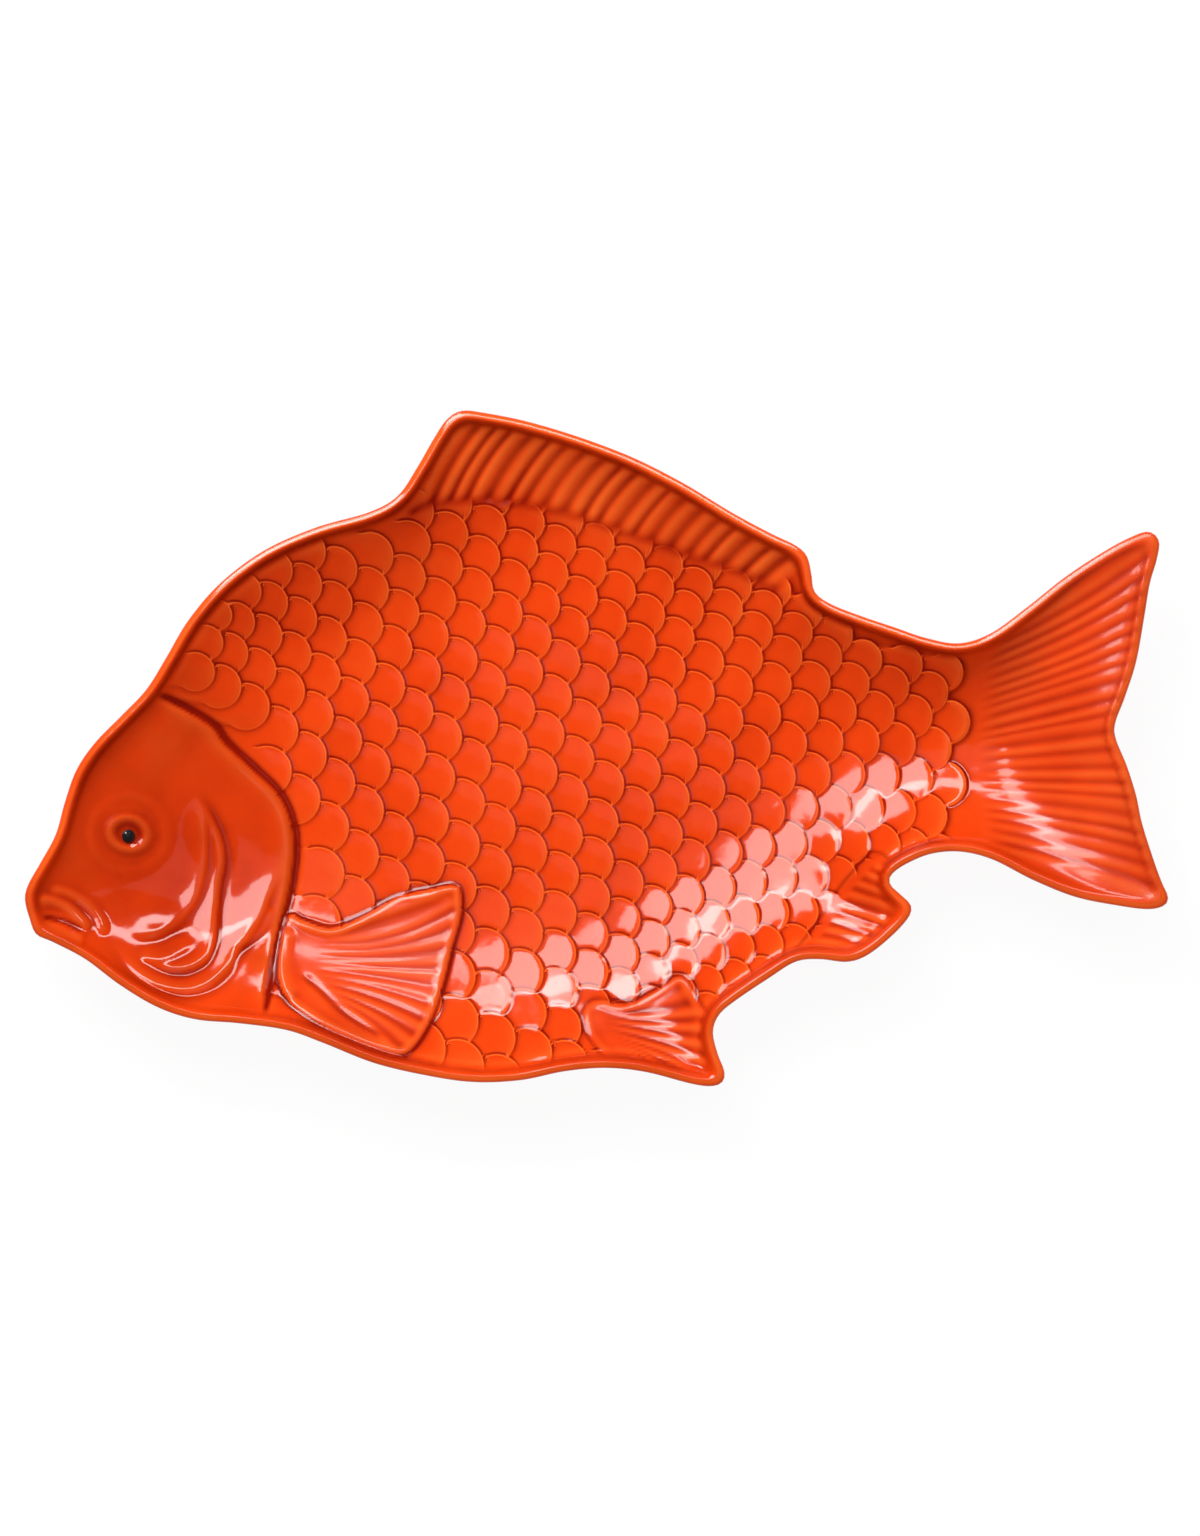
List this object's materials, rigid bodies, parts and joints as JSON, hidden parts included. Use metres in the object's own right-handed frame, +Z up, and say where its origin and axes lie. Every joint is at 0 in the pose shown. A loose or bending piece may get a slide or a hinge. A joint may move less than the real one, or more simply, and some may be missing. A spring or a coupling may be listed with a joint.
{
  "type": "fish shaped serving platter",
  "caption": "Shallow glazed earthenware serving dish shaped as a whole fish, with moulded scales, gill cover, fins and tail, standing on an oval foot ring",
  "frame": {"origin": "middle of the bounding box at its lowest level, on the plane that the foot ring stands on", "axes": "+X from the mouth to the tail along the fish, +Y toward the dorsal fin, +Z up out of the dish"},
  "size_m": [0.44, 0.26, 0.0411],
  "materials": {
    "glaze": "thick glossy orange-red glaze, darker where it pools in the recesses",
    "bare_clay": "matte unglazed clay, wiped clean where it stands",
    "black_glaze": "glossy black glaze"
  },
  "bodies": {
    "root": {"platter": "glaze", "foot_ring": "bare_clay", "eye_bead": "black_glaze"}
  },
  "joints": []
}
